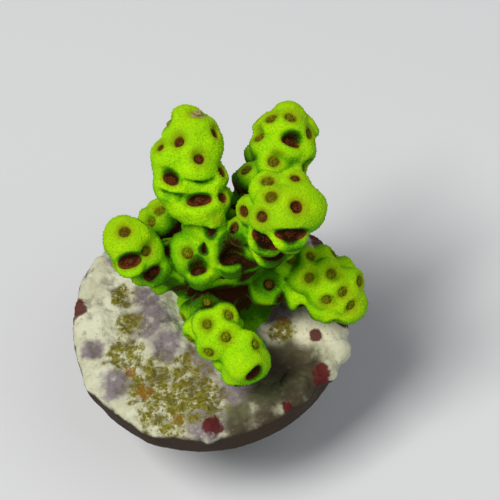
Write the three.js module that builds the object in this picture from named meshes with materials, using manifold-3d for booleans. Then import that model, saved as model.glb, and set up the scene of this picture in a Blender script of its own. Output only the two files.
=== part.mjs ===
// A young colony of a thick-cupped staghorn coral, growing on a ceramic frag plug.
// Millimetres, +Z up. The origin is the centre of the flat foot of the plug's stem.
// The plug is a round disc on a stem. The coral spreads a low crust over the disc, and rises
// from it in a short trunk that forks into six branches, a stub behind and a bud in front.
// Every limb is studded with round-lipped cups, each with a pit, and ends in a larger cup.

import * as THREE from 'three';
import { mergeVertices } from 'three/addons/utils/BufferGeometryUtils.js';
import Module from 'manifold-3d';

const wasm = await Module();
wasm.setup();

// Plug
const DISC_RADIUS = 12.7;
const DISC_THICKNESS = 3.5;
const STEM_RADIUS = 5.5;
const STEM_LENGTH = 12.5;
const STEM_DRAFT = 0.5; // how much slimmer the stem is at its foot
const EDGE_CHAMFER = 0.4;
const PLUG_TOP = STEM_LENGTH + DISC_THICKNESS;
const GROWTH_HEIGHT = 0.6; // how high the crusting algae lifts the disc's top
const GROWTH_START = 9.2; // the top is flat inside this radius, where the coral sits
const PLUG_SEGMENTS = 24;

// Coral
const CUP_RADIUS = 1.25;
const TIP_CUP_RADIUS = 1.5;
const CUP_TAPER = 0.74; // the lip's share of the cup's radius
const CUP_RISE = 0.55; // how far a cup's lip stands out of its limb
const CUP_ROOT = 1.3; // how deep its lump is rooted
const CUP_LEAN = 30; // degrees that a cup leans towards its limb's tip
const PIT_RADIUS = 0.6;
const PIT_DEPTH = 0.9;
const CUP_SPACING = 3; // nearest that a filled-in cup comes to another
const TRUNK_CUP_SPACING = 4;
const CLEAR_OF_LIMBS = 1.1; // a filled-in cup's mouth stands at least this far out of other limbs
const CLEAR_OF_DISC = 1.6; // and this far above the disc
const SPIRAL_STEPS = 90;
const GOLDEN_ANGLE = 137.5; // degrees from one cup to the next round a limb
const FORK_GAP = 0.3; // the saw cut between a limb and the trunk
const FORK_MARGIN = 0.06; // the share of its length before its fork that a limb keeps clear
const LIMB_SIDES = 7;
const LIMB_RINGS = 3;
const END_RISES = [30, 60]; // degrees, where a limb's rounded end has its corners
const CUP_SIDES = 6;
const PIT_SIDES = 5;
const CRUST_RADIUS = 5.6;
const CRUST_HEIGHT = 1.3;
const CRUST_PROFILE = [[0, 0], [1, 0], [0.85, 0.6], [0, 1]]; // in shares of its radius and height
const CRUST_SIDES = 16;
const COLONY_SPAN = 60; // the side of a box that holds all of the colony

// Each limb runs from its root through a bend to its tip, measured from the centre of the disc's
// top. radii are at root and tip. fork is the share of its length that stays with the trunk.
// A cup is [along, turn]: along is 0 at the root and 1 where the rounded end starts, and reaches
// 2 at the end's pole. turn is in degrees round the limb, from the front. tip is where the
// largest cup sits. The cups listed are those that face the viewer; a spiral fills in the rest.
const LIMBS = {
  trunk: {
    path: [[2.2, 0.9, 0], [2.4, 0.4, 6], [2.3, -0.8, 12]],
    radii: [3.4, 2.8],
    cups: [[1.35, 25], [1.3, -35], [0.4, -95], [0.62, -20]],
  },
  tall_branch: {
    path: [[2.3, -1.2, 11], [1.7, 0.4, 18.5], [2.8, 4.6, 21.4]],
    radii: [2.6, 1.9],
    fork: 0.36,
    tip: [1.6, 5],
    cups: [[1.3, -95], [0.95, -45], [0.83, 0], [1, 35], [0.7, -70], [0.56, -5], [0.9, -100],
      [0.7, 55], [0.52, 45]],
  },
  left_branch: {
    path: [[0.8, -1.4, 10.4], [-3.6, -2.2, 12], [-4.8, -0.8, 16.4]],
    radii: [2.3, 1.6],
    fork: 0.42,
    tip: [1.6, 30],
    cups: [[0.9, 45], [0.92, 0], [0.99, 112], [0.43, 141], [0.25, 89], [0.7, 15]],
  },
  middle_branch: {
    path: [[3.6, -1.4, 10], [6.4, -2, 14], [8.7, -4, 19.8]],
    radii: [2.4, 2.5],
    fork: 0.36,
    tip: [1.88, 20],
    cups: [[1.28, -72], [1.55, -111], [1.07, -157], [1.24, 159], [1.26, 117], [0.75, -147],
      [0.92, -34], [1.3, 0], [0.7, 0], [0.6, -95]],
  },
  back_branch: {
    path: [[4, 0.2, 9.5], [7.6, 2.4, 13.5], [10.8, 6.6, 16.2]],
    radii: [2.4, 2.2],
    fork: 0.5,
    tip: [1.25, -40],
    cups: [[1.08, -79], [0.92, -23], [1.06, 11], [0.87, -92], [1, -121], [0.79, 32], [0.61, -91],
      [0.75, -40]],
  },
  right_branch: {
    path: [[3.4, -0.6, 6.5], [8.2, -1.8, 8.6], [11.8, -5, 7.4]],
    radii: [2.4, 2.4],
    fork: 0.42,
    tip: [1.2, -55],
    cups: [[0.78, -58], [0.93, -77], [0.99, -27], [1.52, -33], [0.72, -102], [0.84, -145],
      [1.4, -103], [0.76, 28], [1.28, 32], [0.58, -88]],
  },
  front_branch: {
    path: [[1.2, -0.8, 4], [-0.6, -5.4, 8.4], [2.6, -9.2, 6]],
    radii: [2.4, 1.9],
    fork: 0.36,
    tip: [1.33, -34],
    cups: [[0.62, -77], [0.63, -127], [0.78, -63], [0.96, -95], [0.76, -9], [0.22, -88],
      [0.45, -161], [0.51, -41]],
  },
  rear_branch: {
    path: [[1.6, 0.6, 8.5], [-0.4, 2, 10.9], [-1.8, 3.6, 11.9]],
    radii: [2, 1.6],
    fork: 0.5,
    tip: [1.07, 59],
    cups: [[1.06, 17]],
  },
  small_bud: {
    path: [[4.2, -0.2, 3.2], [5.4, -1, 4.8], [6.1, -2.8, 6.6]],
    radii: [1.6, 1.4],
    fork: 0.5,
    tip: [1.7, -140],
    cups: [],
  },
};

// Materials
const coralSkin = new THREE.MeshStandardMaterial({ color: 0x8fd400, roughness: 0.7, metalness: 0 });
const trunkSkin = new THREE.MeshStandardMaterial({ color: 0x5f9a10, roughness: 0.75, metalness: 0 });
const crustedCeramic = new THREE.MeshStandardMaterial({ color: 0xcfc9a8, roughness: 0.85, metalness: 0 });

// Solids

function toSolid(geometry) {
  const bare = geometry.clone();
  bare.deleteAttribute('normal');
  bare.deleteAttribute('uv');
  const merged = mergeVertices(bare, 1e-4);
  const corners = merged.index.array;
  const triVerts = [];
  for (let i = 0; i < corners.length; i += 3) {
    const [a, b, c] = [corners[i], corners[i + 1], corners[i + 2]];
    if (a !== b && b !== c && c !== a) triVerts.push(a, b, c);
  }
  return new wasm.Manifold(new wasm.Mesh({
    numProp: 3,
    vertProperties: merged.attributes.position.array,
    triVerts: Uint32Array.from(triVerts),
  }));
}

function toGeometry(solid) {
  const mesh = solid.getMesh();
  const geometry = new THREE.BufferGeometry();
  geometry.setAttribute('position', new THREE.BufferAttribute(mesh.vertProperties, 3));
  geometry.setIndex(new THREE.BufferAttribute(mesh.triVerts, 1));
  geometry.computeVertexNormals();
  return geometry;
}

function joinAll(solids) {
  return solids.reduce((whole, piece) => whole.add(piece));
}

// A cut can leave crumbs, and the piece is what holds the most.
function largestBody(solid) {
  return solid.decompose().reduce((most, body) => (body.volume() > most.volume() ? body : most));
}

function lathe(profile, sides) {
  return new THREE.LatheGeometry(profile.map(([x, y]) => new THREE.Vector2(x, y)), sides);
}

// Limbs

function curveOf(limb) {
  const [root, bend, tip] = limb.path.map((p) => new THREE.Vector3(...p));
  return new THREE.QuadraticBezierCurve3(root, bend, tip);
}

const FRONT = new THREE.Vector3(0, -1, 0);

// The limb's centre, and the directions along it, to its front and to its side, at a share t.
function frameAt(limb, t) {
  const curve = curveOf(limb);
  const along = curve.getTangent(t);
  const front = FRONT.clone().addScaledVector(along, -FRONT.dot(along)).normalize();
  const side = along.clone().cross(front);
  return { centre: curve.getPoint(t), along, front, side };
}

function radiusAt(limb, t) {
  return THREE.MathUtils.lerp(limb.radii[0], limb.radii[1], t);
}

function lengthOf(limb) {
  return curveOf(limb).getLength();
}

// The limb without its cups, from share start to share end, with extra added to its radius.
// It is a lathe whose axis is bent onto the curve, rounded at the end where end is 1.
function limbCore(limb, start, end, extra = 0) {
  const length = lengthOf(limb);
  const profile = [[0, start * length]];
  for (let i = 0; i <= LIMB_RINGS; i++) {
    const t = start + ((end - start) * i) / LIMB_RINGS;
    profile.push([radiusAt(limb, t) + extra, t * length]);
  }
  const endRadius = radiusAt(limb, end) + extra;
  for (const rise of end === 1 ? END_RISES : []) {
    const angle = THREE.MathUtils.degToRad(rise);
    profile.push([endRadius * Math.cos(angle), length + endRadius * Math.sin(angle)]);
  }
  profile.push([0, end * length + (end === 1 ? endRadius : 0)]);
  const geometry = lathe(profile, LIMB_SIDES);
  const position = geometry.getAttribute('position');
  for (let i = 0; i < position.count; i++) {
    const height = position.getY(i);
    const t = Math.min(height / length, 1);
    const { centre, along, front, side } = frameAt(limb, t);
    centre.addScaledVector(side, position.getX(i));
    centre.addScaledVector(front, position.getZ(i));
    centre.addScaledVector(along, height - t * length);
    position.setXYZ(i, centre.x, centre.y, centre.z);
  }
  return toSolid(geometry);
}

// Cups

// Where a cup sits on its limb's surface, and the direction that it opens in.
function seatOf(limb, [along, turn]) {
  const t = Math.min(along, 1);
  const over = Math.max(along - 1, 0);
  const frame = frameAt(limb, t);
  const angle = THREE.MathUtils.degToRad(turn);
  const out = frame.front.clone().multiplyScalar(Math.cos(angle));
  out.addScaledVector(frame.side, Math.sin(angle));
  const tilted = (degrees) => out.clone()
    .multiplyScalar(Math.cos(THREE.MathUtils.degToRad(degrees)))
    .addScaledVector(frame.along, Math.sin(THREE.MathUtils.degToRad(degrees)));
  const foot = frame.centre.clone().addScaledVector(tilted(90 * over), radiusAt(limb, t));
  const opens = tilted(CUP_LEAN + (90 - CUP_LEAN) * over);
  return { along, foot, opens, mouth: foot.clone().addScaledVector(opens, CUP_RISE) };
}

// How deep a point lies in a limb's core: below 0 is inside.
function depthIn(limb, point) {
  let nearest = Infinity;
  for (let i = 0; i <= 20; i++) {
    const t = i / 20;
    nearest = Math.min(nearest, curveOf(limb).getPoint(t).distanceTo(point) - radiusAt(limb, t));
  }
  return nearest;
}

const seats = {}; // limb name to its cups' seats
const taken = []; // every mouth so far
for (const [name, limb] of Object.entries(LIMBS)) {
  const tip = limb.tip ? [{ ...seatOf(limb, limb.tip), radius: TIP_CUP_RADIUS }] : [];
  const cups = limb.cups.map((cup) => ({ ...seatOf(limb, cup), radius: CUP_RADIUS }));
  seats[name] = [...tip, ...cups];
  taken.push(...seats[name].map((seat) => seat.mouth));
}
for (const [name, limb] of Object.entries(LIMBS)) {
  const others = Object.entries(LIMBS).filter(([n]) => n !== name).map(([, other]) => other);
  const lastAlong = limb.tip ? 1.5 : 1;
  const spacing = limb.tip ? CUP_SPACING : TRUNK_CUP_SPACING;
  for (let i = 0; i < SPIRAL_STEPS; i++) {
    const seat = seatOf(limb, [(lastAlong * (i + 1)) / SPIRAL_STEPS, i * GOLDEN_ANGLE]);
    if (seat.mouth.z < CLEAR_OF_DISC) continue;
    if (taken.some((mouth) => mouth.distanceTo(seat.mouth) < spacing)) continue;
    if (others.some((other) => depthIn(other, seat.mouth) < CLEAR_OF_LIMBS)) continue;
    seats[name].push({ ...seat, radius: CUP_RADIUS });
    taken.push(seat.mouth);
  }
}

function placedAt(geometry, seat) {
  const turned = new THREE.Quaternion().setFromUnitVectors(new THREE.Vector3(0, 1, 0), seat.opens);
  return geometry.applyQuaternion(turned).translate(seat.foot.x, seat.foot.y, seat.foot.z);
}

// The cup's lump, swollen by extra: a blunt cone that is rooted in the limb.
function cupLump(seat, extra = 0) {
  const r = seat.radius + extra;
  const top = CUP_RISE + extra;
  const profile = [[0, -CUP_ROOT], [r, -CUP_ROOT], [CUP_TAPER * r, top], [0, top]];
  return toSolid(placedAt(lathe(profile, CUP_SIDES), seat));
}

// The cup's pit, a cone with its point down.
function cupPit(seat) {
  const r = PIT_RADIUS * (seat.radius / CUP_RADIUS);
  const above = CUP_RISE + 0.1;
  const profile = [[0, CUP_RISE - PIT_DEPTH], [r, above], [0, above]];
  return toSolid(placedAt(lathe(profile, PIT_SIDES), seat));
}

function withPits(solid, cups) {
  return cups.reduce((left, seat) => left.subtract(cupPit(seat)), solid);
}

// The half of space on one side of a limb's fork: side 1 is beyond it, side -1 is the root's side.
// Both reach half the saw cut past the fork.
function halfSpace(limb, side) {
  const { centre, along } = frameAt(limb, limb.fork);
  const box = new THREE.BoxGeometry(COLONY_SPAN, COLONY_SPAN, COLONY_SPAN);
  box.translate(0, 0, side * (COLONY_SPAN / 2));
  box.applyQuaternion(new THREE.Quaternion().setFromUnitVectors(new THREE.Vector3(0, 0, 1), along));
  centre.addScaledVector(along, -side * (FORK_GAP / 2));
  return toSolid(box.translate(centre.x, centre.y, centre.z));
}

const LIMB_NAMES = Object.keys(LIMBS).filter((name) => name !== 'trunk');

function cupsBeyondFork(name) {
  return seats[name].filter((seat) => seat.along > LIMBS[name].fork);
}

function cupsOnStub(name) {
  return seats[name].filter((seat) => seat.along <= LIMBS[name].fork);
}

// The room that a limb needs beyond its fork, which its neighbours leave clear.
function roomFor(name) {
  const limb = LIMBS[name];
  const core = limbCore(limb, limb.fork - FORK_MARGIN, 1, FORK_GAP);
  const lumps = cupsBeyondFork(name).map((seat) => cupLump(seat, FORK_GAP));
  return joinAll([core, ...lumps]).intersect(halfSpace(limb, 1));
}

function makeLimb(name, earlierNames) {
  const limb = LIMBS[name];
  const cups = cupsBeyondFork(name);
  const whole = joinAll([limbCore(limb, limb.fork, 1), ...cups.map((seat) => cupLump(seat))]);
  const open = earlierNames.reduce((left, other) => left.subtract(roomFor(other)), whole);
  return largestBody(withPits(open, cups).subtract(halfSpace(limb, -1)));
}

// The piece of a limb that stays on the trunk below the fork.
function makeStub(name) {
  const limb = LIMBS[name];
  const lumps = cupsOnStub(name).map((seat) => cupLump(seat));
  return joinAll([limbCore(limb, 0, limb.fork), ...lumps]).subtract(halfSpace(limb, 1));
}

// All that lies above the disc's top, at height 0 here.
function aboveDisc() {
  const box = new THREE.BoxGeometry(COLONY_SPAN, COLONY_SPAN, COLONY_SPAN);
  return toSolid(box.translate(0, 0, COLONY_SPAN / 2));
}

// The crust is lobed where it creeps outwards, and flat underneath.
function makeCrust() {
  const profile = CRUST_PROFILE.map(([x, y]) => [x * CRUST_RADIUS, y * CRUST_HEIGHT]);
  const geometry = lathe(profile, CRUST_SIDES);
  geometry.rotateX(Math.PI / 2);
  const position = geometry.getAttribute('position');
  const [rootX, rootY] = LIMBS.trunk.path[0];
  for (let i = 0; i < position.count; i++) {
    const angle = Math.atan2(position.getY(i), position.getX(i));
    const lobe = 1 + 0.1 * Math.sin(3 * angle + 1) + 0.06 * Math.sin(5 * angle);
    position.setXY(i, rootX + position.getX(i) * lobe, rootY + position.getY(i) * lobe);
  }
  return toSolid(geometry);
}

function makeTrunk() {
  const lumps = seats.trunk.map((seat) => cupLump(seat));
  const grown = [limbCore(LIMBS.trunk, 0, 1), makeCrust(), ...LIMB_NAMES.map(makeStub), ...lumps];
  const parted = LIMB_NAMES.reduce((left, name) => left.subtract(roomFor(name)), joinAll(grown));
  const cups = [...seats.trunk, ...LIMB_NAMES.flatMap(cupsOnStub)];
  return largestBody(withPits(parted.intersect(aboveDisc()), cups));
}

// Plug

function makePlug() {
  const c = EDGE_CHAMFER;
  const profile = [[0, 0], [STEM_RADIUS - STEM_DRAFT - c, 0], [STEM_RADIUS - STEM_DRAFT, c],
    [STEM_RADIUS, STEM_LENGTH], [DISC_RADIUS - c, STEM_LENGTH], [DISC_RADIUS, STEM_LENGTH + c],
    [DISC_RADIUS, PLUG_TOP - c], [DISC_RADIUS - c, PLUG_TOP], [DISC_RADIUS - 4 * c, PLUG_TOP],
    [GROWTH_START, PLUG_TOP], [0, PLUG_TOP]];
  const geometry = lathe(profile, PLUG_SEGMENTS);
  geometry.rotateX(Math.PI / 2);
  const position = geometry.getAttribute('position');
  for (let i = 0; i < position.count; i++) {
    const [x, y, z] = [position.getX(i), position.getY(i), position.getZ(i)];
    const distance = Math.hypot(x, y);
    const onTop = z > PLUG_TOP - c / 2 && distance > GROWTH_START + 0.1;
    if (!onTop) continue;
    const swell = 0.5 + 0.3 * Math.sin(0.9 * x + 1.1 * y) + 0.2 * Math.sin(1.7 * y - 1.3 * x + 2);
    position.setZ(i, z + GROWTH_HEIGHT * swell);
  }
  return toSolid(geometry);
}

// Assembly

function addMesh(group, name, solid, material) {
  const mesh = new THREE.Mesh(toGeometry(solid), material);
  mesh.name = name;
  group.add(mesh);
}

const colony = new THREE.Group();
colony.position.z = PLUG_TOP;
addMesh(colony, 'trunk', makeTrunk(), trunkSkin);
LIMB_NAMES.forEach((name, i) => {
  addMesh(colony, name, makeLimb(name, LIMB_NAMES.slice(0, i)), coralSkin);
});

const coralOnPlug = new THREE.Group();
addMesh(coralOnPlug, 'frag_plug', makePlug(), crustedCeramic);
coralOnPlug.add(colony);

export default coralOnPlug;
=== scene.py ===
import math

import bpy
import numpy as np
import openvdb
from mathutils import Matrix, Vector
from mathutils.noise import fractal
from numpy.linalg import norm


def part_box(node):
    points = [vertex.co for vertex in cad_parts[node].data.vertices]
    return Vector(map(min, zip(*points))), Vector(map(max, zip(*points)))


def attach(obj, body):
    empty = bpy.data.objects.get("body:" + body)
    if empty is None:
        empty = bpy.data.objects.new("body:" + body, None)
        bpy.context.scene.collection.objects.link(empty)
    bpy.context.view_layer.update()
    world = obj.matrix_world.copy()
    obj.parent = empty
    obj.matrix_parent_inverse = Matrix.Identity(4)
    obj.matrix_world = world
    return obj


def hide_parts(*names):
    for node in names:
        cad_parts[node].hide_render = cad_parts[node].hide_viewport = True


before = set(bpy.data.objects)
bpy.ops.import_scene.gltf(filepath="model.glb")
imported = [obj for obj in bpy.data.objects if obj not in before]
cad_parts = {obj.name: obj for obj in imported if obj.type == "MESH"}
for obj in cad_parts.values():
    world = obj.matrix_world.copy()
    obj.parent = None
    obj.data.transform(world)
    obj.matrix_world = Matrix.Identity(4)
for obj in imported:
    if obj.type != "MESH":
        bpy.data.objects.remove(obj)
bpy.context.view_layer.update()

# A branching coral frag on its plug. The skin of the coral and the crusted plug are sculpted in
# blocks of clay, which hold the distance to the surface at each point of a fine lattice. Shapes are
# added to the clay and cut out of it, and the surface at distance 0 becomes a mesh. Lengths are in
# millimetres until a mesh is made, and heights are measured from the disc's top.

MM = 0.001
DISC_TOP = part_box("trunk")[0].z / MM
DISC_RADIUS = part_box("frag_plug")[1].x / MM
FAR = 4.0  # distances are not followed past this
CLAY_STEP = 0.125
COARSE = 3  # the coarse lattice keeps every third point
SEED = 7

# The coral's form. Each limb runs from root through bend to tip, and has a radius at root and tip.
# fork is the share of its length that belongs to the trunk. pale says how pale its polyps are, and
# pit is half the width of its pits, where that isn't PIT_RADIUS.
# A cup is (along, turn, size). It may add its pit's half width, then the half height where the pit
# isn't round, then its own paleness, which turns mauve past 1. along is 0 at the root, 1 where the
# rounded end starts and 2 at its pole. turn is in degrees round the limb from the front, and size is
# the cup's radius.

LIMBS = {
    "trunk": dict(
        path=[(2.2, 0.9, 0), (2.4, 0.4, 6), (2.3, -0.8, 12)], radii=(3.4, 2.8), pale=0.2,
        cups=[(0.4, -95, 1.3), (0.62, -20, 1.4)]),
    "tall_branch": dict(
        path=[(2.3, -1.2, 11), (1.7, 0.4, 18.5), (2.8, 4.6, 21.4)], radii=(2.6, 1.9), fork=0.36,
        pale=0.15,
        cups=[(1.6, 5, 1.9, 0.55, 0.34, 1.7), (1.3, -95, 1.5, 0.3, 0.3, 1.3), (0.95, -45, 1.7),
              (0.83, 0, 1.9), (1, 35, 1.5), (0.56, -5, 2.3, 0.95, 0.42), (0.7, 55, 1.4),
              (0.52, 45, 1.4)]),
    "left_branch": dict(
        path=[(0.8, -1.4, 10.4), (-3.6, -2.2, 12), (-4.8, -0.8, 16.4)], radii=(2.3, 1.6), fork=0.42,
        pale=0.6,
        cups=[(1.6, 30, 2.1, 0.43, 0.43, 0.4), (0.9, 45, 2.1, 0.42, 0.42, 0.7), (0.99, 112, 1.5),
              (0.43, 141, 1.4), (0.66, 15, 1.5, 0.75, 0.4)]),
    "middle_branch": dict(
        path=[(3.6, -1.4, 10), (6.4, -2, 14), (8.7, -4, 19.8)], radii=(2.4, 2.5), fork=0.36,
        pale=0.25,
        cups=[(1.88, 20, 2.3, 0.5, 0.5, 0.0), (1.28, -72, 1.5), (1.55, -111, 1.6, 0.42, 0.42, 0.6),
              (1.26, 117, 1.5), (0.75, -147, 1.4, 0.42, 0.42, 0.5), (0.92, -34, 1.8, 1.25, 0.6),
              (1.3, 0, 1.9, 1.25, 0.5), (0.7, 0, 1.6, 0.95, 0.45), (0.6, -95, 1.4)]),
    "back_branch": dict(
        path=[(4, 0.2, 9.5), (7.6, 2.4, 13.5), (10.8, 6.6, 16.2)], radii=(2.4, 2.2), fork=0.5,
        pale=0.6,
        cups=[(1.25, -40, 1.8), (1.08, -79, 1.4), (0.92, -23, 1.8, 0.75, 0.42), (1.06, 11, 1.2),
              (0.87, -92, 1.4), (1, -121, 1.4), (0.79, 32, 1.4), (0.61, -91, 1.4),
              (0.75, -40, 1.5)]),
    "right_branch": dict(
        path=[(3.4, -0.6, 6.5), (8.2, -1.8, 8.6), (11.8, -5, 7.4)], radii=(2.4, 2.4), fork=0.42,
        pale=0.85, pit=0.38,
        cups=[(1.2, -55, 1.6, 0.36), (0.78, -58, 1.6), (0.93, -77, 1.6), (0.99, -27, 1.6),
              (1.52, -33, 1.4), (0.72, -102, 1.5), (0.84, -145, 1.5), (1.4, -103, 1.3),
              (0.76, 28, 1.6, 0.7, 0.45), (1.28, 32, 1.4), (0.58, -88, 1.4)]),
    "front_branch": dict(
        path=[(1.2, -0.8, 4), (-0.6, -5.4, 8.4), (2.6, -9.2, 6)], radii=(2.4, 1.9), fork=0.36,
        pale=1.0, pit=0.34,
        cups=[(1.33, -34, 1.8, 0.7, 0.5), (0.62, -77, 1.6), (0.63, -127, 1.6), (0.78, -63, 1.7),
              (0.96, -95, 1.5), (0.76, -9, 1.5), (0.22, -88, 1.3), (0.45, -161, 1.4),
              (0.51, -41, 1.4)]),
    "rear_branch": dict(
        path=[(1.6, 0.6, 8.5), (-0.4, 2.0, 10.9), (-1.8, 3.6, 11.9)], radii=(2, 1.6), fork=0.5,
        pale=0.8,
        cups=[(1.07, 59, 1.5, 0.4), (1.06, 17, 1.5, 0.4)]),
    "small_bud": dict(
        path=[(4.2, -0.2, 3.2), (5.4, -1, 4.8), (6.1, -2.8, 6.6)], radii=(1.6, 1.4), fork=0.5,
        pale=0.3,
        cups=[(1.7, -140, 1.95)]),
}

# Cups that sit off their limb's own surface: the mouth, the direction that it opens in, the cup's
# radius, and its pit's half width and half height. The direction that the pit is wide in and the
# paleness of its polyp may follow.

PLACED_CUPS = [
    ((-0.05, -2.5, 14.8), (-0.1, -0.5, 0.86), 2.1, 0.4, 0.4, (1, 0, 0), 0.9),
    ((3.5, -3.4, 13.95), (0.1, 0.1, 1.0), 1.2, 0.85, 0.55),
    ((0.5, -3.4, 13.3), (0.0, 0.05, 1.0), 1.2, 0.58, 0.36),
    ((5.4, -2.8, 19.5), (-0.68, -0.4, 0.62), 1.35, 0.42, 0.42),
    ((0.1, 1.1, 21.2), (-0.12, -0.21, 0.97), 1.8, 0.62, 0.42, (0.71, -0.58, -0.37)),
    ((-0.1, 3.5, 22.6), (-0.37, 0.13, 0.91), 1.3, 0.3, 0.3),
    ((8.1, -2.05, 22.15), (0.13, 0.0, 0.99), 1.6, 0.46, 0.38, (1, 0, 0), 0.6),
    ((10.4, -2.35, 21.95), (0.3, 0.0, 0.95), 1.6, 0.34, 0.3, (1, 0, 0), 0.2),
    ((-4.95, -3.4, 17.0), (0.0, -0.5, 0.87), 1.35, 0.9, 0.5, (1, 0, 0.1), 0.5),
]

# Places that the filled-in cups keep clear of: (x, y, z, radius).

KEPT_CLEAR = [
    (3.6, -4.3, 10.1, 2.6), (-1.5, -4.2, 10.9, 1.9), (-3.5, -3.9, 11.9, 1.5), (7.0, -4.5, 12.4, 1.9),
    (11.2, -5.6, 20.1, 1.6), (0.8, -10.5, 7.1, 1.5), (-0.6, 0.1, 16.8, 1.5), (1.7, -2.9, 14.6, 1.5),
    (3.6, -2.8, 6.0, 2.6), (6.0, -2.4, 5.0, 2.0), (4.7, -2.2, 2.2, 1.6), (6.4, -4.4, 5.6, 1.2),
    (-0.1, 0.1, 18.8, 1.2),
]

# Places where little light falls, given to the skin as painted shade: (x, y, z, radius, darkness).

PAINTED_SHADE_SPOTS = [
    (4.5, -2.9, 16.2, 1.6, 0.85), (4.1, -3.0, 14.6, 1.5, 0.85), (4.7, -3.8, 13.0, 1.6, 0.85),
    (2.2, -2.2, 16.5, 1.1, 0.85), (1.4, -2.5, 14.7, 0.9, 0.8), (-1.5, -3.3, 10.7, 1.5, 0.75),
    (-0.4, -3.4, 9.9, 1.4, 0.8), (2.0, -3.2, 9.2, 1.7, 0.85), (3.0, -3.0, 7.4, 2.2, 0.85),
    (4.7, -3.5, 10.4, 1.6, 0.85), (4.0, -2.3, 4.6, 2.4, 0.85), (5.6, -4.2, 5.9, 1.4, 0.8),
    (6.5, -5.6, 18.4, 1.3, 0.85), (8.8, -6.7, 20.1, 1.3, 0.85), (7.5, -4.0, 11.8, 1.3, 0.75),
    (7.2, -4.6, 7.0, 1.4, 0.8), (-2.0, -3.3, 12.0, 1.2, 0.6), (3.3, -4.6, 13.2, 1.8, 0.5),
    (0.2, -4.6, 12.5, 1.7, 0.45), (0.9, -3.2, 14.4, 1.3, 0.35), (6.0, -3.6, 8.6, 2.2, 0.5),
    (-0.05, -2.5, 14.6, 0.8, 0.6), (0.3, -4.1, 9.0, 1.9, 0.6), (-0.5, 0.1, 20.2, 0.9, 0.45),
    (0.4, -0.3, 20.1, 0.9, 0.45), (2.6, 0.2, 20.6, 1.0, 0.3), (-3.1, -3.6, 14.3, 1.7, 0.65),
    (-0.2, -2.7, 14.4, 2.9, 0.34),
    (6.6, -6.3, 18.3, 1.6, 0.5), (8.9, -7.2, 19.7, 1.5, 0.5), (7.2, -5.8, 15.4, 1.8, 0.6),
]

# Ridges of skin: the points that each runs through, and its radius at both ends.

RIDGES = [
    ([(2.9, -1.3, 17.2), (2.9, -2.2, 15.2), (2.0, -3.0, 13.4), (1.6, -3.2, 12.4)], (1.1, 0.75)),
]

# Grooves in the skin: the points that each runs through, and its radius.

GROOVES = [
    ([(1.2, -1.7, 16.9), (2.3, -2.3, 16.5), (3.0, -2.6, 16.7)], 0.5),
    ([(1.5, -2.25, 15.1), (1.4, -2.5, 14.4)], 0.16),
    ([(-0.9, 0.4, 20.35), (-0.3, -0.1, 20.3), (0.4, -0.35, 20.1), (1.1, -0.4, 19.8)], 0.3),
    ([(1.2, 0.5, 20.95), (2.0, 0.3, 20.7), (2.8, 0.2, 20.45), (3.6, 0.4, 20.3)], 0.25),
]

# Swollen places between the cups: (x, y, z, radius).

SWELLINGS = [
    (2.6, 5.4, 22.3, 1.7), (0.6, 3.3, 21.0, 1.8), (0.4, 1.8, 19.5, 1.8), (1.0, 0.7, 18.3, 2.0),
    (3.4, 3.6, 21.0, 1.8), (11.2, 7.2, 17.0, 1.6), (11.2, 4.8, 15.6, 1.8), (10.2, -4.2, 20.1, 2.2),
    (12.4, -6.3, 6.7, 1.9), (10.4, -5.7, 6.9, 1.8), (-5.0, -0.5, 16.9, 1.65), (3.1, -9.4, 5.9, 1.7),
]

CUP_LEAN = 30.0  # degrees that a cup leans towards its limb's tip
CUP_RISE = 0.55  # how far a cup's lip stands out of the limb's nominal surface
CUP_HEIGHT = 0.95  # half a cup's height, as a share of its radius
CORE_SINK = 0.4  # how far the limbs' own surface lies below the nominal one, between the cups
LIP_WIDTH = 0.34
LIP_HEIGHT = 0.46
LIP_SINK = 0.4  # how far the middle of a lip lies below the mouth
PIT_RADIUS = 0.42
PIT_DEPTH = 0.85
SLIT_DEPTH = 0.65
SLIT_NARROW = 0.8  # a pit lower than this share of its width is a dark slit, unless it is mauve
# How dark a slit's painted shade is at its middle.
SLIT_SHADE = 0.75
FILL_SIZES = (1.15, 1.45)  # radii of the cups that a spiral fills in
FILL_SPACING = 2.2
SPIRAL_STEPS = 90
GOLDEN_ANGLE = 137.5
CLEAR_OF_LIMBS = 0.5
CLEAR_OF_DISC = 1.6

# How far each shape's surface runs softly into the others.

CORE_BLEND = 1.2
CRUST_BLEND = 1.6
RIDGE_BLEND = 0.9
CUP_BLEND = 0.3
LIP_BLEND = 0.4
SLIT_BLEND = 0.75
LUMP_BLEND = 0.7

SKY_TILT = 20.0  # degrees that the middle of the sky's light leans to the front
LIGHT_AT_BACK = 0.4  # the light on an open place that faces away from the sky
LIGHT_AT_FRONT = 1.3  # the light on one that faces it, which is cut off at 1
SKIN_RELIEF = 0.07
OVERLAP = 0.7  # how far each limb's skin reaches into its neighbours
GRANULE_SPACING = 0.265
TRUNK_GRANULE_SPACING = 0.42
GRANULE_RADIUS = 0.085
GRANULE_HEIGHT = 0.07
CRUST_RADIUS = 4.7
CRUST_HEIGHT = 1.3

# The plug. Its crust has large lumps of algae, each (x, y, radius, height), and small ones strewn
# between them. Patches of colour are (x, y, radius).

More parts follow.
